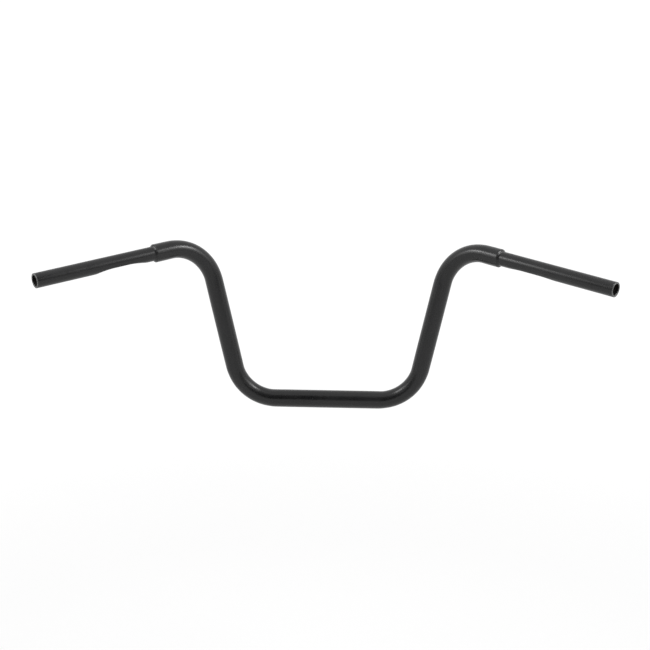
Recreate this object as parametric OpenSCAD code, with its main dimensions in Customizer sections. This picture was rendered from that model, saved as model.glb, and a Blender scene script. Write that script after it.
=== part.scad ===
// Ape hanger handlebar for a motorbike, bent from thick tube, with a thinner
// grip tube plugged and welded into each end.
//
// Frame: the origin is on the axis of the main tube, at the middle of the
// straight base that the handlebar clamps hold. X runs to the rider's right,
// Y runs forward, Z runs up. Lengths are in mm and angles in degrees.

/* [Overall form] */

// Straight base between the two lower bends, where the handlebar clamps sit
base_length = 184.8; // [150:0.1:240]
// Straight part of each riser, between its two bends
riser_length = 160.4; // [80:0.1:320]
// Outward lean of the risers from upright
riser_lean = 12.56; // [5:0.01:20]
// Turn of the grip tubes back towards the rider, seen from above
sweep_back = 37.62; // [20:0.01:45]
// Slope of the grip tubes down towards their open ends
droop = 5.54; // [0:0.01:15]

/* [Main tube] */

// Outside diameter of the thick tube
main_tube_diameter = 31.75; // [30:0.05:36]
// Radius of the lower bends, on the tube's axis
base_bend_radius = 76.2; // [60:0.1:100]
// Radius of the upper bends, on the tube's axis
upper_bend_radius = 76.2; // [60:0.1:100]
// Straight end of the thick tube beyond each upper bend
stub_length = 30.4; // [30:0.1:60]
// Rounding of the main tube's outer rim where a grip tube comes out
rim_rounding = 0.8; // [0.4:0.1:1.2]

/* [Grip tubes] */

// Outside diameter of the thin tubes that take the grips and controls
grip_tube_diameter = 25.4; // [22:0.1:26]
// Wall of the thin tubes
grip_tube_wall = 3.05; // [2.4:0.05:4]
// Length of thin tube that stands out of the main tube
grip_length = 220; // [170:1:260]
// Gap all round between a thin tube and the main tube's bore
socket_clearance = 0.125; // [0.05:0.005:0.25]
// Length of thin tube that sits inside the main tube
socket_depth = 28; // [16:1:30]
// Length of the weld's slope along the thin tube
weld_length = 4; // [3:0.5:8]
// Width of bare tube end left outside the weld
weld_setback = 0.5; // [0.2:0.1:0.8]
// Rounding of the thin tube's open end, outside and inside
end_rounding = 0.6; // [0.3:0.1:1]

/* [Wiring dents] */

// Length of each dent that gives the switch wires room
dent_length = 91; // [80:1:110]
// Depth of each dent at its middle
dent_depth = 4.5; // [1.5:0.1:4.8]
// Radius of each dent's floor, across the tube
dent_radius = 30; // [20:1:60]
// Length over which each end of a dent runs out
dent_run_out = 30; // [20:1:38]
// Distance from the weld's rim to the near end of a dent
dent_start = 20; // [14:1:30]
// Turn of the left dent from straight down towards the rider
left_dent_turn = 15; // [-20:1:30]
// Turn of the right dent from straight down towards the rider
right_dent_turn = -4; // [-20:1:30]
// How much wider the bore is pressed, all along a dent
dent_bore_spread = 0.2; // [0.2:0.05:0.5]

/* [Hidden] */

// sides of a full circle, across a tube and along a bend
$fn = 40;
bend_sides = 72;

main_r = main_tube_diameter / 2;
grip_r = grip_tube_diameter / 2;
grip_bore_r = grip_r - grip_tube_wall;
main_bore_r = grip_r + socket_clearance;

function unit(v) = v / norm(v);

// what is left of v after its share along the direction d is taken away
function across(v, d) = v - (v * d) * d;

// turn between two directions
function turn_between(a, b) = acos(a * b);

// where a round bend ends that leads from one direction into the next
function bend_end(start, way, next_way, radius) =
    start + (way + next_way) * radius * tan(turn_between(way, next_way) / 2);

// matrix that places a shape with its own axes on x, y and z at a point
function frame(at, x, y, z) = [
    [x[0], y[0], z[0], at[0]],
    [x[1], y[1], z[1], at[1]],
    [x[2], y[2], z[2], at[2]],
    [0, 0, 0, 1]
];

// directions of the right half's straights, from the middle outward
base_way = [1, 0, 0];
riser_way = [sin(riser_lean), 0, cos(riser_lean)];
arm_way = [cos(sweep_back) * cos(droop), -sin(sweep_back) * cos(droop), -sin(droop)];

base_turn = turn_between(base_way, riser_way);
upper_turn = turn_between(riser_way, arm_way);

// where each straight length starts and ends, on the tube's axis
base_end = base_way * base_length / 2;
riser_start = bend_end(base_end, base_way, riser_way, base_bend_radius);
riser_end = riser_start + riser_way * riser_length;
arm_start = bend_end(riser_end, riser_way, arm_way, upper_bend_radius);
step_point = arm_start + arm_way * stub_length;

// the open end's middle: half the overall width, the pull-back and the rise
bar_end = step_point + arm_way * grip_length;

// cutters run this far past the faces they open
extra = 1;

// A bend is this much fatter than the straights, and each straight laps this
// far into it. So the pieces of the run join cleanly, with no step to be seen.
bend_swell = 0.01;
joint_lap = 0.4;
base_reach = base_end + base_way * joint_lap;

// frame of a grip tube: its z runs outward along the arm, its x points down
arm_down = unit(across([0, 0, -1], arm_way));
arm_side = cross(arm_way, arm_down);

// radius of the hollow curve of the weld, which meets the thin tube smoothly
weld_height = main_r - weld_setback - grip_r;
weld_curve_r = (weld_length * weld_length + weld_height * weld_height) / (2 * weld_height);

// radius of the long curve in which a dent's end runs out, along the tube
run_out_r = (dent_run_out * dent_run_out + dent_depth * dent_depth) / (2 * dent_depth);

// Straight rod between two points on the tube's axis.
module rod(from, to, radius) {
    way = unit(to - from);
    side = unit(across([0, 1, 0.001], way));
    multmatrix(frame(from, side, cross(way, side), way))
        cylinder(h = norm(to - from), r = radius);
}

// Part of a ring that leads from one direction into the next.
module bend(start, way, next_way, bend_radius, turn, radius) {
    inward = unit(across(next_way, way));
    multmatrix(frame(start + inward * bend_radius, -inward, way, cross(-inward, way)))
        rotate_extrude(angle = turn, $fn = bend_sides)
            translate([bend_radius, 0])
                circle(r = radius + bend_swell, $fn = 40);
}

// Bends and riser of the right half, as one solid run.
module half_run(radius) {
    bend(base_end, base_way, riser_way, base_bend_radius, base_turn, radius);
    rod(riser_start - riser_way * joint_lap, riser_end + riser_way * joint_lap, radius);
    bend(riser_end, riser_way, arm_way, upper_bend_radius, upper_turn, radius);
}

// Sharp corner outside a small circle. The circle's centre is given, and the
// signs of the two sides tell which way the corner points.
module corner_waste(centre, side_x, side_y, radius) {
    translate(centre)
        scale([side_x, side_y])
            difference() {
                square([radius + extra, radius + extra]);
                circle(r = radius, $fn = 40);
            }
}

// Straight end of the thick tube beyond its last bend, with its rim rounded.
module stub() {
    multmatrix(frame(step_point, arm_down, arm_side, arm_way))
        rotate_extrude()
            difference() {
                translate([0, -stub_length - joint_lap])
                    square([main_r, stub_length + joint_lap]);
                corner_waste([main_r - rim_rounding, -rim_rounding], 1, 1, rim_rounding);
            }
}

// Thick tube: straight base, two risers and two stubs, joined by four bends,
// and hollow from one open end to the other.
module main_tube() {
    color([0.05, 0.05, 0.055])
        difference() {
            union() {
                rod(-base_reach, base_reach, main_r);
                for (side = [0, 1])
                    mirror([side, 0, 0]) {
                        half_run(main_r);
                        stub();
                    }
            }
            rod(-base_reach, base_reach, main_bore_r);
            for (side = [0, 1])
                mirror([side, 0, 0]) {
                    half_run(main_bore_r);
                    rod(arm_start - arm_way * joint_lap, step_point + arm_way * extra, main_bore_r);
                }
        }
}

// Outline of half a thin tube: the wall, the weld's slope and the rounded end.
module grip_outline() {
    difference() {
        union() {
            translate([grip_bore_r, -socket_depth])
                square([grip_tube_wall, socket_depth + grip_length]);
            // weld, cut to a hollow slope by a circle that touches the tube
            difference() {
                translate([grip_r - extra, 0])
                    square([weld_height + extra, weld_length]);
                translate([grip_r + weld_curve_r, weld_length])
                    circle(r = weld_curve_r, $fn = 120);
            }
        }
        // both edges of the open end are rounded
        corner_waste([grip_r - end_rounding, grip_length - end_rounding], 1, 1, end_rounding);
        corner_waste([grip_bore_r + end_rounding, grip_length - end_rounding], -1, 1, end_rounding);
    }
}

// Long barrel that presses a dent into a tube's underside, grown by a margin.
// Its middle is straight, and its ends curve away until they leave the tube.
module dent_form(turn, margin) {
    first = dent_start + dent_run_out;
    last = dent_start + dent_length - dent_run_out;
    rotate([0, 0, -turn])
        translate([grip_r - dent_depth + dent_radius, 0, 0])
            rotate_extrude($fn = 120)
                intersection() {
                    translate([0, dent_start - 2 * grip_tube_wall])
                        square([dent_radius + margin, dent_length + 4 * grip_tube_wall]);
                    union() {
                        translate([0, first])
                            square([dent_radius + margin, last - first]);
                        translate([dent_radius - run_out_r, first])
                            circle(r = run_out_r + margin, $fn = 240);
                        translate([dent_radius - run_out_r, last])
                            circle(r = run_out_r + margin, $fn = 240);
                    }
                }
}

// Thin tube in its own frame: z = 0 is the main tube's end face.
module plain_grip_tube() {
    rotate_extrude()
        grip_outline();
}

// Thin tube whose underside is pressed in, so the wall also bulges inside.
module dented_grip_tube(turn) {
    bore_r = grip_bore_r + dent_bore_spread;
    difference() {
        union() {
            difference() {
                plain_grip_tube();
                translate([0, 0, dent_start - grip_tube_wall])
                    cylinder(h = dent_length + 2 * grip_tube_wall, r = bore_r);
            }
            intersection() {
                translate([0, 0, dent_start - 1.5 * grip_tube_wall])
                    cylinder(h = dent_length + 3 * grip_tube_wall, r = grip_r - grip_tube_wall / 2);
                dent_form(turn, grip_tube_wall);
            }
        }
        dent_form(turn, 0);
    }
}

module grip_tube_right() {
    color([0.05, 0.05, 0.055])
        multmatrix(frame(step_point, arm_down, arm_side, arm_way))
            dented_grip_tube(right_dent_turn);
}

module grip_tube_left() {
    color([0.05, 0.05, 0.055])
        mirror([1, 0, 0])
            multmatrix(frame(step_point, arm_down, arm_side, arm_way))
                dented_grip_tube(left_dent_turn);
}

main_tube();
grip_tube_left();
grip_tube_right();
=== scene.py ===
"""Ape hanger handlebar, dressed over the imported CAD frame.

The bar is made as the real one is: straight tube blanks are turned, the thick
one is bent along its path, the thin ones get their wiring dents, and a weld
bead closes each step. All lengths are in metres, in the frame of the CAD.
"""

import math

import bmesh
import bpy
from bpy.props import FloatProperty, FloatVectorProperty, IntProperty, PointerProperty
from mathutils import Matrix, Vector


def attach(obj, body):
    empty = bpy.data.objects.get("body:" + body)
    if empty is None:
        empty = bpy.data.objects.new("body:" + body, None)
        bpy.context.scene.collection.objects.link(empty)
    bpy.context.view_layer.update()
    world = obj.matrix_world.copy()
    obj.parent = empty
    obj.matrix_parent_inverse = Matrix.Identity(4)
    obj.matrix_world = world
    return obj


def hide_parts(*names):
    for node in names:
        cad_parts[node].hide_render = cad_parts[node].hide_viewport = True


bl_info = {
    "name": "Ape Hanger Handlebar",
    "version": (1, 0, 0),
    "blender": (4, 5, 0),
    "location": "View3D > Sidebar > Handlebar",
    "description": "Bends, welds and coats a tall motorbike handlebar over its CAD frame",
    "category": "Object",
}

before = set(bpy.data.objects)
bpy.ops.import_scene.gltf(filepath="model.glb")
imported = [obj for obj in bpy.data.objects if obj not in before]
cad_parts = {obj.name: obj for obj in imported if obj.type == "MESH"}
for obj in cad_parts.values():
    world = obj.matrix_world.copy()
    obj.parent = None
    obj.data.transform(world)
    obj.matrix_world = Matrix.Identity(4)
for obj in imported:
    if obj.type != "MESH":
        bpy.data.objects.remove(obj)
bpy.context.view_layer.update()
BODY = "root"

DEGREE = math.pi / 180
FULL_TURN = 2 * math.pi

# Settings


class BarSizes(bpy.types.PropertyGroup):
    """Sizes of the thick tube and of the path that it is bent along."""

    base_length: FloatProperty(
        name="Base length",
        description="Straight base between the two lower bends, where the clamps sit",
        default=0.1848,
        subtype="DISTANCE",
    )
    riser_length: FloatProperty(
        name="Riser length",
        description="Straight part of each riser, between its two bends",
        default=0.1604,
        subtype="DISTANCE",
    )
    riser_lean: FloatProperty(
        name="Riser lean",
        description="Outward lean of the risers from upright",
        default=12.56 * DEGREE,
        subtype="ANGLE",
    )
    sweep_back: FloatProperty(
        name="Sweep back",
        description="Turn of the grip tubes back towards the rider",
        default=37.62 * DEGREE,
        subtype="ANGLE",
    )
    droop: FloatProperty(
        name="Droop",
        description="Slope of the grip tubes down towards their open ends",
        default=5.54 * DEGREE,
        subtype="ANGLE",
    )
    diameter: FloatProperty(
        name="Thick tube",
        description="Outside diameter of the thick tube",
        default=0.03175,
        subtype="DISTANCE",
    )
    bore: FloatProperty(
        name="Thick tube bore",
        description="Inside diameter of the thick tube",
        default=0.02565,
        subtype="DISTANCE",
    )
    bend_radius: FloatProperty(
        name="Bend radius",
        description="Radius of all four bends, on the tube's axis",
        default=0.0762,
        subtype="DISTANCE",
    )
    stub_length: FloatProperty(
        name="Stub length",
        description="Straight end of the thick tube beyond each upper bend",
        default=0.0304,
        subtype="DISTANCE",
    )
    flattening: FloatProperty(
        name="Bend flattening",
        description="Share of its width that the tube loses in the plane of a bend",
        default=0.030,
        min=0,
        max=0.1,
        subtype="FACTOR",
    )
    rim_rounding: FloatProperty(
        name="Rim rounding",
        description="Rounding of the thick tube's outer rim",
        default=0.0008,
        subtype="DISTANCE",
    )


class GripSizes(bpy.types.PropertyGroup):
    """Sizes of the thin tubes, of the wiring dent and of the weld beads."""

    diameter: FloatProperty(
        name="Thin tube",
        description="Outside diameter of the thin tubes",
        default=0.0254,
        subtype="DISTANCE",
    )
    wall: FloatProperty(
        name="Wall",
        description="Wall of the thin tubes",
        default=0.00305,
        subtype="DISTANCE",
    )
    length: FloatProperty(
        name="Grip length",
        description="Length of thin tube that stands out of the thick one",
        default=0.220,
        subtype="DISTANCE",
    )
    socket_depth: FloatProperty(
        name="Socket depth",
        description="Length of thin tube inside the thick one",
        default=0.028,
        subtype="DISTANCE",
    )
    end_rounding: FloatProperty(
        name="End rounding",
        description="Rounding of the open ends",
        default=0.0006,
        subtype="DISTANCE",
    )
    weld_length: FloatProperty(
        name="Weld length",
        description="Length of the weld's slope along the thin tube",
        default=0.004,
        subtype="DISTANCE",
    )
    weld_setback: FloatProperty(
        name="Weld setback",
        description="Width of bare tube end left outside the weld",
        default=0.0005,
        subtype="DISTANCE",
    )
    ripples: IntProperty(
        name="Weld ripples",
        description="Number of ripples round each weld bead",
        default=54,
        min=12,
    )
    ripple_height: FloatProperty(
        name="Ripple height",
        description="How far a ripple's crest stands over its foot",
        default=0.00022,
        subtype="DISTANCE",
    )
    dent_start: FloatProperty(
        name="Dent start",
        description="Distance from the weld's rim to the near end of a wiring dent",
        default=0.020,
        subtype="DISTANCE",
    )
    dent_length: FloatProperty(
        name="Dent length",
        description="Length of each wiring dent",
        default=0.091,
        subtype="DISTANCE",
    )
    dent_run_out: FloatProperty(
        name="Dent run-out",
        description="Length over which each end of a dent runs out",
        default=0.030,
        subtype="DISTANCE",
    )
    dent_depth: FloatProperty(
        name="Dent depth",
        description="Depth of each wiring dent at its middle",
        default=0.0045,
        subtype="DISTANCE",
    )
    dent_radius: FloatProperty(
        name="Dent radius",
        description="Radius of a dent's floor, across the tube",
        default=0.030,
        subtype="DISTANCE",
    )
    left_dent_turn: FloatProperty(
        name="Left dent turn",
        description="Turn of the left dent from straight down towards the rider",
        default=15 * DEGREE,
        subtype="ANGLE",
    )
    right_dent_turn: FloatProperty(
        name="Right dent turn",
        description="Turn of the right dent from straight down towards the rider",
        default=-4 * DEGREE,
        subtype="ANGLE",
    )


class CoatColours(bpy.types.PropertyGroup):
    """Colours and texture of the powder coat and of the bare bore."""

    coat: FloatVectorProperty(
        name="Coat",
        description="Colour of the satin black powder coat",
        default=(0.0085, 0.0085, 0.0089),
        subtype="COLOR",
        min=0,
        max=1,
    )
    # pale rim colour: a thin, worn film over the rims, and a painted highlight where the rims catch
    # the light
    rim_film_and_highlight: FloatVectorProperty(
        name="Thin coat",
        description="Colour of the coat where it runs thin over a sharp rim",
        default=(0.13, 0.135, 0.13),
        subtype="COLOR",
        min=0,
        max=1,
    )
    bare_steel: FloatVectorProperty(
        name="Bare steel",
        description="Colour of the mill steel inside the bore",
        default=(0.070, 0.062, 0.055),
        subtype="COLOR",
        min=0,
        max=1,
    )
    roughness: FloatProperty(
        name="Roughness",
        description="Roughness of the coat",
        default=0.28,
        min=0,
        max=1,
        subtype="FACTOR",
    )
    peel_size: FloatProperty(
        name="Orange peel size",
        description="Width of one swell in the coat's orange peel",
        default=0.0020,
        subtype="DISTANCE",
    )
    peel_height: FloatProperty(
        name="Orange peel height",
        description="Height of the orange peel's swells",
        default=0.00002,
        subtype="DISTANCE",
        precision=6,
    )


class StudioSizes(bpy.types.PropertyGroup):
    """Floor, lamps and background of the studio."""

    floor_drop: FloatProperty(
        name="Floor drop",
        description="How far the floor lies under the bar, which hangs as in the photograph",
        default=0.65,
        subtype="DISTANCE",
    )
    floor_colour: FloatVectorProperty(
        name="Floor colour",
        description="Colour of the pale floor and backdrop",
        default=(0.95, 0.95, 0.95),
        subtype="COLOR",
        min=0,
        max=1,
    )
    side_power: FloatProperty(
        name="Side lamps",
        description="Power of each of the two soft lamps at the left and right",
        default=2.0,
        subtype="POWER",
    )
    bulb_power: FloatProperty(
        name="Lamp middles",
        description="Power of the right side lamp's bright middle, of which the left's has a share",
        default=4.0,
        subtype="POWER",
    )
    strip_power: FloatProperty(
        name="Strip lamps",
        description="Power of each of the two upright strips at the front left and right",
        default=2.0,
        subtype="POWER",
    )
    tent_light: FloatProperty(
        name="Tent light",
        description="Strength of the even light from the white tent all round",
        default=0.70,
        min=0,
    )
    tent_top: FloatProperty(
        name="Tent top",
        description="How bright the tent is overhead, as a share of its sides",
        default=0.92,
        min=0,
        max=1,
        subtype="FACTOR",
    )


# Path of the bar


def straight_ways(bar):
    """Directions of the right half's base, riser and arm, outward from the middle."""
    lean, sweep, droop = bar.riser_lean, bar.sweep_back, bar.droop
    base = Vector((1, 0, 0))
    riser = Vector((math.sin(lean), 0, math.cos(lean)))
    arm = Vector(
        (
            math.cos(sweep) * math.cos(droop),
            -math.sin(sweep) * math.cos(droop),
            -math.sin(droop),
        )
    )
    return base, riser, arm


def path_corners(bar):
    """Sharp corners of the right half's path, and its end, with the path's whole length."""
    base, riser, arm = straight_ways(bar)
    lower, upper = base.angle(riser), riser.angle(arm)
    lower_reach = bar.bend_radius * math.tan(lower / 2)
    upper_reach = bar.bend_radius * math.tan(upper / 2)
    corner_1 = base * (bar.base_length / 2 + lower_reach)
    corner_2 = corner_1 + riser * (lower_reach + bar.riser_length + upper_reach)
    end = corner_2 + arm * (upper_reach + bar.stub_length)
    half = (
        bar.base_length / 2
        + bar.bend_radius * (lower + upper)
        + bar.riser_length
        + bar.stub_length
    )
    return corner_1, corner_2, end, 2 * half


def step_frame(bar, side):
    """Matrix that places a straight piece at the right step, or for a side of -1 at the left one.

    The piece's Z runs outward along the arm, and its X points down.
    """
    arm = straight_ways(bar)[2]
    end = path_corners(bar)[2]
    down = Vector((0, 0, -1))
    down = (down - arm * arm.dot(down)).normalized()
    across = arm.cross(down)
    placed = Matrix.Translation(end) @ Matrix((down, across, arm)).transposed().to_4x4()
    if side < 0:
        placed = Matrix.Diagonal((-1, 1, 1, 1)) @ placed
    return placed


# Turned blanks

# sides round a tube, and steps of a rounding
TUBE_SIDES = 96
RIM_STEPS = 5
# greatest distance between two rings of a blank, by where they lie
STRAIGHT_RINGS = 0.03
STUB_RINGS = 0.012
BEND_RINGS = 0.0021
BEND_BORE_RINGS = 0.0065
GRIP_RINGS = 0.0016
# a ring this far from a rounding keeps the shading of the plain wall even
RIM_MARGIN = 0.0006
END_MARGIN = 0.0008
# width of the narrow band beside a sharp edge
HAIR = 0.0001


def arc(centre, radius, start, stop, steps):
    """Points of an arc in the (z, radius) plane. Angles are in degrees from the z direction."""
    points = []
    for i in range(steps + 1):
        a = (start + (stop - start) * i / steps) * DEGREE
        points.append((centre[0] + radius * math.cos(a), centre[1] + radius * math.sin(a)))
    return points


def spread(start, stop, step):
    """Even stations from start to stop, both left out, at most a step apart."""
    count = max(1, math.ceil(abs(stop - start) / step))
    return [start + (stop - start) * i / count for i in range(1, count)]


def rings(points, inside=0.0, rim=0.0):
    """Part of a blank's loop: a run of (z, radius) points where the coat is alike."""
    return [(z, radius, inside, rim) for z, radius in points]


def turned_blank(name, loop, sides):
    """Closed skin turned about Z from a closed loop of (z, radius, inside, rim).

    inside and rim go into attributes that the coat reads: how far the bare bore shows,
    and how far a rim takes the pale rim colour, which is a thin film and a painted highlight.
    The map along_around holds the length along the tube and the way round it, in metres.
    """
    bm = bmesh.new()
    inside = bm.verts.layers.float.new("inside")
    rim = bm.verts.layers.float.new("rim")
    along_around = bm.loops.layers.uv.new("along_around")
    skin = []
    for z, radius, in_bore, at_rim in loop:
        ring = []
        for i in range(sides):
            a = FULL_TURN * i / sides
            vert = bm.verts.new((radius * math.cos(a), radius * math.sin(a), z))
            vert[inside] = in_bore
            vert[rim] = at_rim
            ring.append(vert)
        skin.append(ring)
    for j, ring in enumerate(skin):
        after = skin[(j + 1) % len(skin)]
        for i in range(sides):
            k = (i + 1) % sides
            face = bm.faces.new((ring[i], ring[k], after[k], after[i]))
            face.smooth = True
            turns = (i, i + 1, i + 1, i)
            for corner, t in zip(face.loops, turns):
                z, radius = loop[j][0], loop[j][1]
                if corner.vert in (after[i], after[k]):
                    z = loop[(j + 1) % len(skin)][0]
                corner[along_around].uv = (z, FULL_TURN * radius * t / sides)
    bmesh.ops.recalc_face_normals(bm, faces=bm.faces)
    mesh = bpy.data.meshes.new(name)
    bm.to_mesh(mesh)
    bm.free()
    piece = bpy.data.objects.new(name, mesh)
    bpy.context.scene.collection.objects.link(piece)
    return piece


def finish_piece(piece, node=None):
    """Makes a finished piece ride on the bar's body, in place of a CAD node if one is named."""
    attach(piece, BODY)
    if node:
        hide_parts(node)


# Geometry Nodes

# steps of each bend of the path
BEND_STEPS = 48
# the plane of a bend comes from the path's directions this far before and after a point
BEND_REACH = 0.010
# a ripple of a weld trails behind at the bead's edges by this share of its pitch
RIPPLE_BOW = 0.9
# how sharply a ripple's crest drops, and how sharply its height fades at the bead's edges
CREST_POWER = 6.0
FADE_POWER = 4.0
# how quickly the wander of the ripples changes along the bead
WANDER_SCALE = 160.0


class Tree:
    """A node tree under construction, with a short way to add and wire nodes."""

    def __init__(self, group):
        self.group = group
        self.nodes, self.links = group.nodes, group.links
        self.column = 0

    def add(self, kind, inputs=None, **settings):
        """Adds a node, sets its properties, and wires or fills its inputs by name or number."""
        node = self.nodes.new(kind)
        node.location = (self.column * 190, -(self.column % 4) * 160)
        self.column += 1
        for key, value in settings.items():
            setattr(node, key, value)
        for key, value in (inputs or {}).items():
            socket = node.inputs[key]
            if isinstance(value, bpy.types.NodeSocket):
                self.links.new(value, socket)
            else:
                socket.default_value = value
        return node

    def math(self, operation, a, b=None):
        """One arithmetic step on two values."""
        inputs = {0: a} if b is None else {0: a, 1: b}
        return self.add("ShaderNodeMath", inputs, operation=operation).outputs[0]

    def vector(self, operation, a, b):
        """One arithmetic step on two vectors, or on a vector and its scale."""
        inputs = {0: a, "Scale": b} if operation == "SCALE" else {0: a, 1: b}
        return self.add("ShaderNodeVectorMath", inputs, operation=operation).outputs[0]


def geometry_tree(name, inputs):
    """A Geometry Nodes tree with named inputs. Returns it with its group input node."""
    tree = Tree(bpy.data.node_groups.new(name, "GeometryNodeTree"))
    sockets = tree.group.interface
    sockets.new_socket("Geometry", in_out="INPUT", socket_type="NodeSocketGeometry")
    for label, kind in inputs:
        sockets.new_socket(label, in_out="INPUT", socket_type="NodeSocket" + kind)
    sockets.new_socket("Geometry", in_out="OUTPUT", socket_type="NodeSocketGeometry")
    return tree, tree.add("NodeGroupInput")


def close_tree(tree, geometry, material):
    """Ends a tree in Realize Instances and Set Material, as the export needs."""
    real = tree.add("GeometryNodeRealizeInstances", {"Geometry": geometry})
    dressed = tree.add(
        "GeometryNodeSetMaterial", {"Geometry": real.outputs[0], "Material": material}
    )
    tree.add("NodeGroupOutput", {"Geometry": dressed.outputs[0]})


def run_tree(piece, tree, values):
    """Runs a tree on a piece with these inputs, and keeps the result as the piece's plain mesh."""
    modifier = piece.modifiers.new(tree.group.name, "NODES")
    modifier.node_group = tree.group
    for item in tree.group.interface.items_tree:
        if item.in_out == "INPUT" and item.name in values:
            modifier[item.identifier] = values[item.name]
    graph = bpy.context.evaluated_depsgraph_get()
    graph.update()
    made = bpy.data.meshes.new_from_object(
        piece.evaluated_get(graph), preserve_all_data_layers=True, depsgraph=graph
    )
    piece.modifiers.remove(modifier)
    blank = piece.data
    piece.data = made
    made.name = piece.name
    bpy.data.meshes.remove(blank)


def bending_tree():
    """Bends a straight blank along a path of straights and round bends."""
    tree, given = geometry_tree(
        "Bend tube along path",
        [
            ("Base corner", "Vector"),
            ("Upper corner", "Vector"),
            ("Open end", "Vector"),
            ("Bend radius", "Float"),
            ("Steps per bend", "Int"),
            ("Path length", "Float"),
            ("Flattening", "Float"),
            ("Coat", "Material"),
        ],
    )
    # the path's corners and ends, from the left end to the right one
    right = [given.outputs[n] for n in ("Base corner", "Upper corner", "Open end")]
    left = [tree.vector("MULTIPLY", corner, (-1, 1, 1)) for corner in right]
    corners = left[::-1] + right
    line = tree.add("GeometryNodeMeshLine", {"Count": len(corners)})
    number = tree.add("GeometryNodeInputIndex").outputs[0]
    choose = tree.add("GeometryNodeIndexSwitch", data_type="VECTOR")
    while len(choose.index_switch_items) < len(corners):
        choose.index_switch_items.new()
    tree.links.new(number, choose.inputs["Index"])
    for i, corner in enumerate(corners):
        tree.links.new(corner, choose.inputs[i + 1])
    placed = tree.add(
        "GeometryNodeSetPosition",
        {"Geometry": line.outputs[0], "Position": choose.outputs[0]},
    )
    sharp = tree.add("GeometryNodeMeshToCurve", {"Mesh": placed.outputs[0]})
    path = tree.add(
        "GeometryNodeFilletCurve",
        {
            "Curve": sharp.outputs[0],
            "Count": given.outputs["Steps per bend"],
            "Radius": given.outputs["Bend radius"],
        },
        mode="POLY",
    )
    # a point of the blank goes to its length along the path, and keeps its place across
    here = tree.add("GeometryNodeInputPosition").outputs[0]
    parts = tree.add("ShaderNodeSeparateXYZ", {0: here})
    half = tree.math("MULTIPLY", given.outputs["Path length"], 0.5)
    station = tree.math("ADD", parts.outputs[2], half)

    def sample(length):
        return tree.add(
            "GeometryNodeSampleCurve",
            {"Curves": path.outputs[0], "Length": length},
            mode="LENGTH",
            use_all_curves=False,
        )

    spot = sample(station)
    tangent, normal = spot.outputs["Tangent"], spot.outputs["Normal"]
    binormal = tree.vector("CROSS_PRODUCT", tangent, normal)
    out = tree.vector("SCALE", normal, parts.outputs[0])
    side = tree.vector("SCALE", binormal, parts.outputs[1])
    across = tree.vector("ADD", out, side)
    # a bend flattens the tube in its own plane: the pull points to the bend's middle,
    # is about 1 long in a bend and 0 on a straight
    before = sample(tree.math("SUBTRACT", station, BEND_REACH)).outputs["Tangent"]
    after = sample(tree.math("ADD", station, BEND_REACH)).outputs["Tangent"]
    turn = tree.math("DIVIDE", given.outputs["Bend radius"], 2 * BEND_REACH)
    pull = tree.vector("SCALE", tree.vector("SUBTRACT", after, before), turn)
    share = tree.add("ShaderNodeVectorMath", {0: across, 1: pull}, operation="DOT_PRODUCT")
    loss = tree.math("MULTIPLY", share.outputs["Value"], given.outputs["Flattening"])
    across = tree.vector("SUBTRACT", across, tree.vector("SCALE", pull, loss))
    place = tree.vector("ADD", spot.outputs["Position"], across)
    bent = tree.add(
        "GeometryNodeSetPosition",
        {"Geometry": given.outputs["Geometry"], "Position": place},
    )
    close_tree(tree, bent.outputs[0], given.outputs["Coat"])
    return tree


def ripple_tree():
    """Raises the even ripples of a weld bead on a smooth ring about Z."""
    tree, given = geometry_tree(
        "Weld ripples",
        [
            ("Ripples", "Float"),
            ("Height", "Float"),
            ("Bead length", "Float"),
            ("Unevenness", "Float"),
            ("Seed", "Float"),
            ("Coat", "Material"),
        ],
    )
    here = tree.add("GeometryNodeInputPosition").outputs[0]
    parts = tree.add("ShaderNodeSeparateXYZ", {0: here})
    turn = tree.math("ARCTAN2", parts.outputs[1], parts.outputs[0])
    # -1 to 1 across the bead: a ripple trails behind at the bead's two edges
    across = tree.math("DIVIDE", parts.outputs[2], given.outputs["Bead length"])
    across = tree.math("SUBTRACT", tree.math("MULTIPLY", across, 2.0), 1.0)
    bow = tree.math("MULTIPLY", across, across)
    # the hand wanders a little, so no two ripples are alike
    noise = tree.add(
        "ShaderNodeTexNoise",
        {"Vector": here, "W": given.outputs["Seed"], "Scale": WANDER_SCALE, "Detail": 1.0},
        noise_dimensions="4D",
    )
    wander = tree.math("SUBTRACT", noise.outputs[0], 0.5)
    wander = tree.math("MULTIPLY", wander, given.outputs["Unevenness"])
    phase = tree.math("MULTIPLY", tree.math("DIVIDE", turn, FULL_TURN), given.outputs["Ripples"])
    phase = tree.math("ADD", phase, tree.math("MULTIPLY", bow, RIPPLE_BOW))
    crest = tree.math("FRACT", tree.math("ADD", phase, wander))
    # a ripple rises slowly and ends in a round step
    drop = tree.math("POWER", crest, CREST_POWER)
    crest = tree.math("MULTIPLY", crest, tree.math("SUBTRACT", 1.0, drop))
    # it fades at the bead's two edges, and the underside has none
    edge = tree.math("POWER", tree.math("ABSOLUTE", across), FADE_POWER)
    fade = tree.math("MAXIMUM", tree.math("SUBTRACT", 1.0, edge), 0.0)
    lift = tree.math("MULTIPLY", tree.math("MULTIPLY", crest, fade), given.outputs["Height"])
    facing = tree.add("GeometryNodeInputNormal").outputs[0]
    under = tree.add("GeometryNodeInputNamedAttribute", {"Name": "inside"}, data_type="FLOAT")
    lift = tree.math("MULTIPLY", lift, tree.math("SUBTRACT", 1.0, under.outputs[0]))
    raised = tree.add(
        "GeometryNodeSetPosition",
        {"Geometry": given.outputs["Geometry"], "Offset": tree.vector("SCALE", facing, lift)},
    )
    close_tree(tree, raised.outputs[0], given.outputs["Coat"])
    return tree


# Materials

COAT_NAME = "satin_black_powder_coat"
COAT_IOR = 1.42
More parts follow.
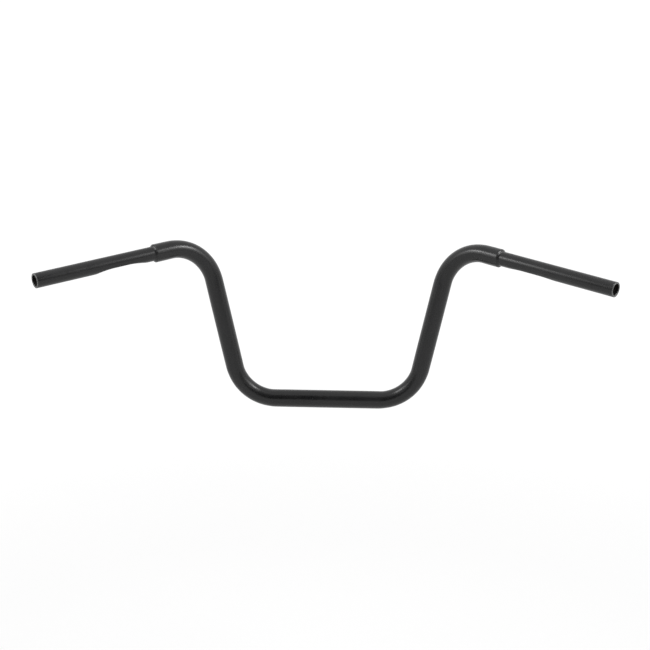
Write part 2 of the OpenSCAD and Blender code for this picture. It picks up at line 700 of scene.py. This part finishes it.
# sizes of the patterns in the coat and on the bare steel
GRAIN_SIZE = 0.00028
MOTTLE_SIZE = 0.055
SMEAR_SIZE = 0.013
MILL_SCALE_SIZE = 0.004
NIB_SPACING = 0.0055
# brightness of the coat's pale mottle and of the dark mill scale, as shares of their colours
PALE_SHARE = 1.45
DARK_SHARE = 0.35
# height of the grain and of the nibs, as shares of the orange peel's
GRAIN_SHARE = 0.10
NIB_SHARE = 0.9
# how much rougher the thin film at a rim is, and the bare bore
THIN_ROUGHER = 0.10
BORE_ROUGHER = 0.22


def powder_coat(colours):
    """Satin black powder coat with bare steel in the bore, and pale rims: a thin film there, and a
    painted highlight.

    It has orange peel, fine grain, faint mottle and smears, and a few nibs.
    """
    material = bpy.data.materials.new(COAT_NAME)
    material.use_nodes = True
    tree = Tree(material.node_tree)
    shader = tree.nodes["Principled BSDF"]
    shader.inputs["IOR"].default_value = COAT_IOR
    spot = tree.add("ShaderNodeTexCoord").outputs["Object"]

    def noise(size, detail, rough=0.5):
        made = tree.add(
            "ShaderNodeTexNoise",
            {"Vector": spot, "Scale": 1 / size, "Detail": detail, "Roughness": rough},
        )
        return made.outputs[0]

    def ramp(value, low, high, out_low=0.0, out_high=1.0):
        ends = {"From Min": low, "From Max": high, "To Min": out_low, "To Max": out_high}
        made = tree.add(
            "ShaderNodeMapRange", {"Value": value, **ends}, interpolation_type="SMOOTHSTEP"
        )
        return made.outputs[0]

    def blend(factor, a, b):
        made = tree.add("ShaderNodeMix", {0: factor, 6: a, 7: b}, data_type="RGBA")
        return made.outputs[2]

    peel = noise(colours.peel_size, 1.5)
    grain = noise(GRAIN_SIZE, 2.0)
    mottle = noise(MOTTLE_SIZE, 3.0, 0.6)
    smears = noise(SMEAR_SIZE, 4.0, 0.62)
    inside = tree.add("ShaderNodeAttribute", attribute_name="inside").outputs["Fac"]
    rim = tree.add("ShaderNodeAttribute", attribute_name="rim").outputs["Fac"]

    # nibs: specks of powder that stand out of the film, in a fifth of the cells
    cells = tree.add(
        "ShaderNodeTexVoronoi", {"Vector": spot, "Scale": 1 / NIB_SPACING, "Randomness": 1.0}
    )
    chosen = tree.add("ShaderNodeSeparateXYZ", {0: cells.outputs["Color"]}).outputs[0]
    speck = ramp(cells.outputs["Distance"], 0.10, 0.0)
    nibs = tree.math("MULTIPLY", speck, ramp(chosen, 0.80, 0.82))

    coat = (*colours.coat, 1)
    paler = (*(min(1, c * PALE_SHARE) for c in colours.coat), 1)
    # thin is the pale rim colour: a thin film and a painted highlight
    thin = (*colours.rim_film_and_highlight, 1)
    steel = (*colours.bare_steel, 1)
    darker_steel = (*(c * DARK_SHARE for c in colours.bare_steel), 1)
    film = blend(ramp(mottle, 0.35, 0.72), coat, paler)
    # the rims take the pale rim colour, unevenly: the film runs thin there, and the pale colour
    # also paints in the highlight that the rims catch
    rim_film_and_highlight_mask = tree.math("MULTIPLY", rim, ramp(smears, 0.30, 0.62, 0.45, 1.0))
    film = blend(rim_film_and_highlight_mask, film, thin)
    # the bore is bare, with patches of dark mill scale
    patches = ramp(noise(MILL_SCALE_SIZE, 5.0, 0.65), 0.38, 0.66)
    bare = blend(patches, darker_steel, steel)
    tree.links.new(blend(inside, film, bare), shader.inputs["Base Color"])

    satin = colours.roughness
    for change in (
        ramp(mottle, 0.3, 0.75, -0.035, 0.045),
        ramp(smears, 0.45, 0.75, 0.0, 0.05),
        ramp(grain, 0.3, 0.7, -0.02, 0.03),
        tree.math("MULTIPLY", rim_film_and_highlight_mask, THIN_ROUGHER),
        tree.math("MULTIPLY", inside, BORE_ROUGHER),
    ):
        satin = tree.math("ADD", change, satin)
    tree.links.new(satin, shader.inputs["Roughness"])

    height = tree.math("ADD", peel, tree.math("MULTIPLY", grain, GRAIN_SHARE))
    height = tree.math("ADD", height, tree.math("MULTIPLY", nibs, NIB_SHARE))
    bump = tree.add(
        "ShaderNodeBump", {"Strength": 1.0, "Distance": colours.peel_height, "Height": height}
    )
    tree.links.new(bump.outputs[0], shader.inputs["Normal"])
    return material


def coat_of(scene):
    """The one coat that all pieces share, made on its first use."""
    return bpy.data.materials.get(COAT_NAME) or powder_coat(scene.hanger_coat)


# Pieces

# how far the rims at the steps and at the open ends take the pale rim colour, from 0 to 1: a thin
# film there, and a painted highlight
STEP_RIM_FILM_AND_HIGHLIGHT = 0.2
OPEN_RIM_FILM_AND_HIGHLIGHT = 0.7
# the coat thins out this far into an open end
OVERSPRAY = 0.012
# place of the one ring of a thin tube's bore that lies within the plug
PLUG_RING = -0.010
# width over which a dent's shoulders are rounded
DENT_SHOULDER = 0.0016

# steps along a weld's slope, and sides of the bead for each of its ripples
SLOPE_STEPS = 10
SIDES_PER_RIPPLE = 9
# how far a weld bead's middle stands over the slope, along the tube and across it
BEAD_CROWN = (0.00015, 0.00024)
# how far its underside sits below the slope, along the tube and across it
BEAD_ROOT = (0.0004, 0.0005)
BEAD_UNEVENNESS = 0.5
BEAD_SEEDS = {"right": 3.0, "left": 8.0}


class HANGER_OT_main_tube(bpy.types.Operator):
    """Bends the thick tube: base, two risers and two stubs"""

    bl_idname = "hanger.main_tube"
    bl_label = "Main tube"

    def execute(self, context):
        bar = context.scene.hanger_bar
        corner_1, corner_2, end, length = path_corners(bar)
        outer, bore, edge = bar.diameter / 2, bar.bore / 2, bar.rim_rounding
        half = length / 2
        base, riser, arm = straight_ways(bar)
        lower = bar.bend_radius * base.angle(riser)
        upper = bar.bend_radius * riser.angle(arm)
        # stations of the bends along the path, outward from the middle
        marks = [bar.base_length / 2]
        for run in (lower, bar.riser_length, upper):
            marks.append(marks[-1] + run)

        def stations(step):
            """Right half's stations: close in the bends, wide on the straights."""
            found = spread(0, marks[0], STRAIGHT_RINGS) + [marks[0]]
            found += spread(marks[0], marks[1], step) + [marks[1]]
            found += spread(marks[1], marks[2], STRAIGHT_RINGS) + [marks[2]]
            found += spread(marks[2], marks[3], step) + [marks[3]]
            return found + spread(marks[3], half - edge, STUB_RINGS)

        # right half of the blank: out along the wall, over the rim, and back along the bore
        wall = [(z, outer) for z in stations(BEND_RINGS)]
        right = rings(wall + [(half - edge - RIM_MARGIN, outer)])
        rim = arc((half - edge, outer - edge), edge, 90, 0, RIM_STEPS)
        # the rim takes the pale rim colour: a thin film and a painted highlight
        right += rings(rim, rim=STEP_RIM_FILM_AND_HIGHLIGHT)
        right += rings([(half, bore + HAIR)], rim=STEP_RIM_FILM_AND_HIGHLIGHT / 2)
        right += rings([(half, bore)], inside=0.5)
        right += rings([(z, bore) for z in reversed(stations(BEND_BORE_RINGS))], inside=1.0)
        left = [(-z, *rest) for z, *rest in reversed(right)]
        loop = rings([(0.0, outer)]) + right + rings([(0.0, bore)], inside=1.0) + left
        piece = turned_blank("main_tube_bent", loop, TUBE_SIDES)
        run_tree(
            piece,
            bending_tree(),
            {
                "Base corner": corner_1,
                "Upper corner": corner_2,
                "Open end": end,
                "Bend radius": bar.bend_radius,
                "Steps per bend": BEND_STEPS,
                "Path length": length,
                "Flattening": bar.flattening,
                "Coat": coat_of(context.scene),
            },
        )
        finish_piece(piece, "main_tube")
        return {"FINISHED"}


def weld_profile(bar, grip):
    """Hollow curve of a weld's slope, from the thin tube up to the rim, as (z, radius)."""
    thin = grip.diameter / 2
    rise = bar.diameter / 2 - grip.weld_setback - thin
    curve = (grip.weld_length**2 + rise**2) / (2 * rise)
    points = []
    for i in range(SLOPE_STEPS + 1):
        z = grip.weld_length * (1 - i / SLOPE_STEPS)
        drop = math.sqrt(curve**2 - (grip.weld_length - z) ** 2)
        points.append((z, thin + curve - drop))
    return points


def press_dent(piece, grip, turn):
    """Presses the wiring dent into a straight thin tube, with soft shoulders and an even wall."""
    outer, soft = grip.diameter / 2, DENT_SHOULDER
    # radius of the long curve in which each end of the dent runs out
    run_out = (grip.dent_run_out**2 + grip.dent_depth**2) / (2 * grip.dent_depth)
    first = grip.dent_start + grip.dent_run_out
    last = grip.dent_start + grip.dent_length - grip.dent_run_out
    # past this the curve is well clear of the tube
    clear = 1.4 * grip.dent_run_out
    inside = piece.data.attributes["inside"].data
    for i, vert in enumerate(piece.data.vertices):
        # x runs to the middle of the dent, y across it
        x = vert.co.x * math.cos(turn) - vert.co.y * math.sin(turn)
        y = vert.co.x * math.sin(turn) + vert.co.y * math.cos(turn)
        past = max(0.0, first - vert.co.z, vert.co.z - last)
        if x <= 0 or past > clear:
            continue
        depth = grip.dent_depth - run_out + math.sqrt(run_out**2 - past**2)
        floor = outer - depth + grip.dent_radius - math.sqrt(grip.dent_radius**2 - y**2)
        if inside[i].value > 0.5:
            floor -= grip.wall
        # the lower of wall and floor, rounded where they meet
        gap = max(0.0, soft - abs(x - floor)) / soft
        x = min(x, floor) - gap * gap * soft / 4
        vert.co.x = x * math.cos(turn) + y * math.sin(turn)
        vert.co.y = -x * math.sin(turn) + y * math.cos(turn)


def grip_blank(name, bar, grip):
    """Straight thin tube with its plugged end, its weld's slope and its rounded open end."""
    outer, bore = grip.diameter / 2, grip.diameter / 2 - grip.wall
    far, edge, plug = grip.length, grip.end_rounding, -grip.socket_depth
    slope = weld_profile(bar, grip)[::-1]
    run = spread(grip.weld_length, far - edge - END_MARGIN, GRIP_RINGS)
    # the plug, the flat back of the weld against the thick tube's end, and the weld's slope
    loop = rings([(plug, bore)], inside=1.0)
    loop += rings([(plug, outer), (-HAIR, outer), (0.0, outer + HAIR / 5)])
    loop += rings([(0.0, slope[0][1] - 3 * HAIR)] + slope)
    # the wall, the rounded open end, and the bore back to the plug
    loop += rings([(z, outer) for z in run] + [(far - edge - END_MARGIN, outer)])
    end = arc((far - edge, outer - edge), edge, 90, 0, RIM_STEPS)
    end += arc((far - edge, bore + edge), edge, 0, -90, RIM_STEPS)
    # the open end's rim takes the pale rim colour: a thin film and a painted highlight
    loop += rings(end, rim=OPEN_RIM_FILM_AND_HIGHLIGHT)
    loop += rings([(far - edge - END_MARGIN, bore)], inside=0.1)
    loop += rings([(far - OVERSPRAY / 2, bore)], inside=0.5)
    deep = [z for z in reversed(run) if z < far - OVERSPRAY]
    loop += rings([(z, bore) for z in (*deep, grip.weld_length, PLUG_RING)], inside=1.0)
    return turned_blank(name, loop, TUBE_SIDES)


class HANGER_OT_grip_tubes(bpy.types.Operator):
    """Makes the two thin tubes, and presses a wiring dent into each"""

    bl_idname = "hanger.grip_tubes"
    bl_label = "Grip tubes"

    def execute(self, context):
        bar, grip = context.scene.hanger_bar, context.scene.hanger_grips
        turns = {"right": grip.right_dent_turn, "left": grip.left_dent_turn}
        for side, word in ((1, "right"), (-1, "left")):
            piece = grip_blank(f"grip_tube_{word}_turned", bar, grip)
            press_dent(piece, grip, turns[word])
            piece.data.transform(step_frame(bar, side))
            if side < 0:
                piece.data.flip_normals()
            piece.data.materials.append(coat_of(context.scene))
            finish_piece(piece, f"grip_tube_{word}")
        return {"FINISHED"}


class HANGER_OT_welds(bpy.types.Operator):
    """Lays a rippled weld bead round each step"""

    bl_idname = "hanger.welds"
    bl_label = "Weld beads"

    def execute(self, context):
        bar, grip = context.scene.hanger_bar, context.scene.hanger_grips
        slope = weld_profile(bar, grip)
        # the bead lies on the slope, thickest in its middle
        fine = []
        for (z0, r0), (z1, r1) in zip(slope[1:-1], slope[2:]):
            fine += [(z0, r0), ((z0 + z1) / 2, (r0 + r1) / 2)]
        top = []
        for i, (z, r) in enumerate(fine):
            swell = math.sin(math.pi * i / (len(fine) - 1))
            top.append((z + swell * BEAD_CROWN[0], r + swell * BEAD_CROWN[1]))
        under = [(z - BEAD_ROOT[0], r - BEAD_ROOT[1]) for z, r in reversed(fine)]
        loop = rings(top) + rings(under, inside=1.0)
        for side, word in ((1, "right"), (-1, "left")):
            piece = turned_blank(f"weld_bead_{word}", loop, grip.ripples * SIDES_PER_RIPPLE)
            run_tree(
                piece,
                ripple_tree(),
                {
                    "Ripples": float(grip.ripples),
                    "Height": grip.ripple_height,
                    "Bead length": grip.weld_length,
                    "Unevenness": BEAD_UNEVENNESS,
                    "Seed": BEAD_SEEDS[word],
                    "Coat": coat_of(context.scene),
                },
            )
            piece.data.transform(step_frame(bar, side))
            if side < 0:
                piece.data.flip_normals()
            finish_piece(piece)
        return {"FINISHED"}


# Stage

# floor and backdrop: front edge, back wall, its height, half the width, and the round corner
FLOOR_FRONT = -4.6
BACKDROP_AT = 5.0
BACKDROP_TOP = 4.0
BACKDROP_HALF_WIDTH = 7.0
BACKDROP_CURVE = 1.2
BACKDROP_STEPS = 16
# the floor's white: a little over 1, because the shade that is mixed in takes some away
FLOOR_WHITE = 1.07
# share of white near the bar, and the distances between which it grows to the whole
NEAR_WHITE = 0.75
SHADE_FROM = 1.1
SHADE_TO = 2.6

# lamps of the right half, which the left half mirrors: place, then width and height
BAR_MIDDLE = Vector((0.0, -0.08, 0.14))
SIDE_LAMP = (0.76, -0.36, 0.76), (0.62, 0.58)
STRIP_LAMP = (0.90, -1.40, 0.95), (0.32, 1.20)
BULB_OUT, BULB_HEIGHT = 0.66, 0.88
BULB_SIZE = (0.24, 0.20)
# y of each bulb, and its share of the power: they differ, as the upper bends' highlights do
BULBS = {"left": (-0.27, 0.64), "right": (-0.22, 1.0)}

# black curtain round the camera: its reach to each side, and the height and radius of its rows
CURTAIN_REACH = 58 * DEGREE
CURTAIN_ROWS = ((0.10, 3.0), (1.3, 3.0), (2.3, 2.8), (3.0, 2.0))
CURTAIN_STEPS = 24
CLOTH_COLOUR = (0.02, 0.02, 0.02, 1)
CLOTH_ROUGHNESS = 0.9
# the tent dims from the first of these heights to the second, where 1 is straight up
TENT_DIMS = (0.45, 0.80)

# camera of the photograph, found by matching the bar's outline
CAMERA_PLACE = Vector((0.104715, -2.280120, 0.724844))
CAMERA_RIGHT = Vector((0.998802, 0.048709, 0.004686))
CAMERA_AHEAD = Vector((-0.046001, 0.967284, -0.249491))
# the camera is moved by half a pixel, measured at the bar, to centre the outline on the photo's
HALF_PIXEL = 0.00089
SENSOR_WIDTH = 36.0
FOCAL_LENGTH = 73.37


def seen_share(tree):
    """1 for a ray along which the camera, gloss or glass sees, and 0 for one that only lights."""
    ray = tree.add("ShaderNodeLightPath")
    seen = tree.math("MAXIMUM", ray.outputs["Is Camera Ray"], ray.outputs["Is Glossy Ray"])
    return tree.math("MAXIMUM", seen, ray.outputs["Is Transmission Ray"])


def pale_surface(colour):
    """Pale floor that the camera, gloss and glass see as white, and that keeps the bar's shadow."""
    material = bpy.data.materials.new("pale_studio_floor")
    material.use_nodes = True
    tree = Tree(material.node_tree)
    tree.nodes.clear()
    lit = tree.add("ShaderNodeBsdfDiffuse", {"Color": (*colour, 1)})
    white = tree.add("ShaderNodeEmission", {"Color": (1, 1, 1, 1), "Strength": FLOOR_WHITE})
    # near the bar the floor keeps a share of its own shade, and so the bar's shadow
    spot = tree.add("ShaderNodeTexCoord").outputs["Object"]
    away = tree.add("ShaderNodeVectorMath", {0: spot}, operation="LENGTH").outputs["Value"]
    ends = {"From Min": SHADE_FROM, "From Max": SHADE_TO, "To Min": NEAR_WHITE}
    white_share = tree.add("ShaderNodeMapRange", {"Value": away, **ends})
    share = tree.math("MULTIPLY", seen_share(tree), white_share.outputs[0])
    both = tree.add("ShaderNodeMixShader", {0: share, 1: lit.outputs[0], 2: white.outputs[0]})
    tree.add("ShaderNodeOutputMaterial", {"Surface": both.outputs[0]})
    return material


def black_cloth():
    """Dull black cloth of the curtain."""
    material = bpy.data.materials.new("black_curtain_cloth")
    material.use_nodes = True
    shader = material.node_tree.nodes["Principled BSDF"]
    shader.inputs["Base Color"].default_value = CLOTH_COLOUR
    shader.inputs["Roughness"].default_value = CLOTH_ROUGHNESS
    return material


def studio_sheet(name, strips, material):
    """Open sheet through strips of points, which all have the same number of points."""
    verts = [point for strip in strips for point in strip]
    wide = len(strips[0])
    faces = []
    for i in range(len(strips) - 1):
        for j in range(wide - 1):
            k = i * wide + j
            faces.append((k, k + 1, k + wide + 1, k + wide))
    mesh = bpy.data.meshes.new(name)
    mesh.from_pydata(verts, [], faces)
    mesh.materials.append(material)
    sheet = bpy.data.objects.new(name, mesh)
    bpy.context.scene.collection.objects.link(sheet)
    return sheet


def soft_lamp(name, place, size, power):
    """Rectangular soft lamp that points at the bar's middle. The camera doesn't see it."""
    light = bpy.data.lights.new(name, "AREA")
    light.shape = "RECTANGLE"
    light.size, light.size_y = size
    light.energy = power
    lamp = bpy.data.objects.new(name, light)
    lamp.location = place
    lamp.rotation_euler = (BAR_MIDDLE - Vector(place)).to_track_quat("-Z", "Y").to_euler()
    lamp.visible_camera = False
    bpy.context.scene.collection.objects.link(lamp)


class HANGER_OT_studio(bpy.types.Operator):
    """Sets the camera, the pale floor with its backdrop, the white tent and the lamps"""

    bl_idname = "hanger.studio"
    bl_label = "Studio"

    def execute(self, context):
        studio = context.scene.hanger_studio
        self.sweep(studio)
        self.lamps(studio)
        self.curtain()
        self.tent(context, studio)
        self.camera(context)
        context.scene.view_settings.view_transform = "Standard"
        return {"FINISHED"}

    def sweep(self, studio):
        """Floor that curves up into a backdrop far behind the bar."""
        floor, curve = -studio.floor_drop, BACKDROP_CURVE
        rows = [(FLOOR_FRONT, floor)]
        rows += arc((BACKDROP_AT - curve, floor + curve), curve, -90, 0, BACKDROP_STEPS)
        rows.append((BACKDROP_AT, BACKDROP_TOP))
        sides = (-BACKDROP_HALF_WIDTH, BACKDROP_HALF_WIDTH)
        strips = [[(x, y, z) for x in sides] for y, z in rows]
        sweep = studio_sheet("studio_sweep", strips, pale_surface(studio.floor_colour))
        sweep.data.shade_smooth()

    def lamps(self, studio):
        """A wide lamp with a bright middle at each side, and an upright strip at each front."""
        for side, word in ((-1, "left"), (1, "right")):
            bulb_y, share = BULBS[word]
            bulb_place = (BULB_OUT, bulb_y, BULB_HEIGHT)
            lamps = {
                "side_lamp": (*SIDE_LAMP, studio.side_power),
                "bulb": (bulb_place, BULB_SIZE, studio.bulb_power * share),
                "strip_lamp": (*STRIP_LAMP, studio.strip_power),
            }
            for kind, ((x, y, z), size, power) in lamps.items():
                soft_lamp(f"{word}_{kind}", (side * x, y, z), size, power)

    def curtain(self):
        """Black curtain round the camera, where the tent is open.

        The camera doesn't see it, and the bar shows it in its gloss and its shade.
        """
        strips = []
        for i in range(CURTAIN_STEPS + 1):
            turn = CURTAIN_REACH * (1 - 2 * i / CURTAIN_STEPS)
            out, back = math.sin(turn), -math.cos(turn)
            strips.append([(radius * out, radius * back, z) for z, radius in CURTAIN_ROWS])
        curtain = studio_sheet("black_curtain", strips, black_cloth())
        curtain.visible_camera = False

    def tent(self, context, studio):
        """White tent: the camera, gloss and glass see it as white, and it lights the bar evenly."""
        world = bpy.data.worlds.new("white_tent")
        context.scene.world = world
        world.use_nodes = True
        tree = Tree(world.node_tree)
        level = tree.add(
            "ShaderNodeMapRange",
            {"Value": seen_share(tree), "To Min": studio.tent_light, "To Max": 1.0},
        )
        # overhead it is a little dimmer
        way = tree.add("ShaderNodeTexCoord").outputs["Generated"]
        height = tree.add("ShaderNodeSeparateXYZ", {0: way}).outputs[2]
        low, high = TENT_DIMS
        ends = {"From Min": low, "From Max": high, "To Min": 1.0, "To Max": studio.tent_top}
        top = tree.add("ShaderNodeMapRange", {"Value": height, **ends})
        background = tree.nodes["Background"]
        background.inputs["Color"].default_value = (1, 1, 1, 1)
        strength = tree.math("MULTIPLY", level.outputs[0], top.outputs[0])
        tree.links.new(strength, background.inputs["Strength"])

    def camera(self, context):
        """Camera at the photograph's viewing angle."""
        ahead = CAMERA_AHEAD.normalized()
        up = CAMERA_RIGHT.normalized().cross(ahead).normalized()
        right = ahead.cross(up)
        lens = bpy.data.cameras.new("photo_camera")
        lens.sensor_width = SENSOR_WIDTH
        lens.lens = FOCAL_LENGTH
        camera = bpy.data.objects.new("photo_camera", lens)
        turned = Matrix((right, up, -ahead)).transposed().to_4x4()
        place = CAMERA_PLACE - right * HALF_PIXEL + up * HALF_PIXEL
        camera.matrix_world = Matrix.Translation(place) @ turned
        context.scene.collection.objects.link(camera)
        context.scene.camera = camera


# Panel


class HANGER_PT_panel(bpy.types.Panel):
    """Lists the sizes, the colours and the steps of the handlebar"""

    bl_idname = "HANGER_PT_panel"
    bl_label = "Ape Hanger Handlebar"
    bl_space_type = "VIEW_3D"
    bl_region_type = "UI"
    bl_category = "Handlebar"

    def draw(self, context):
        scene = context.scene
        for group in (scene.hanger_bar, scene.hanger_grips, scene.hanger_coat, scene.hanger_studio):
            box = self.layout.box()
            for name in type(group).__annotations__:
                box.prop(group, name)
        for step in STEPS:
            self.layout.operator(step.bl_idname)


GROUPS = {
    "hanger_bar": BarSizes,
    "hanger_grips": GripSizes,
    "hanger_coat": CoatColours,
    "hanger_studio": StudioSizes,
}
STEPS = (HANGER_OT_main_tube, HANGER_OT_grip_tubes, HANGER_OT_welds, HANGER_OT_studio)
CLASSES = (*GROUPS.values(), *STEPS, HANGER_PT_panel)


def register():
    for cls in CLASSES:
        bpy.utils.register_class(cls)
    for name, group in GROUPS.items():
        setattr(bpy.types.Scene, name, PointerProperty(type=group))


def unregister():
    for name in GROUPS:
        delattr(bpy.types.Scene, name)
    for cls in reversed(CLASSES):
        bpy.utils.unregister_class(cls)


def main():
    register()
    bpy.ops.hanger.main_tube()
    bpy.ops.hanger.grip_tubes()
    bpy.ops.hanger.welds()
    bpy.ops.hanger.studio()


if __name__ == "__main__":
    main()
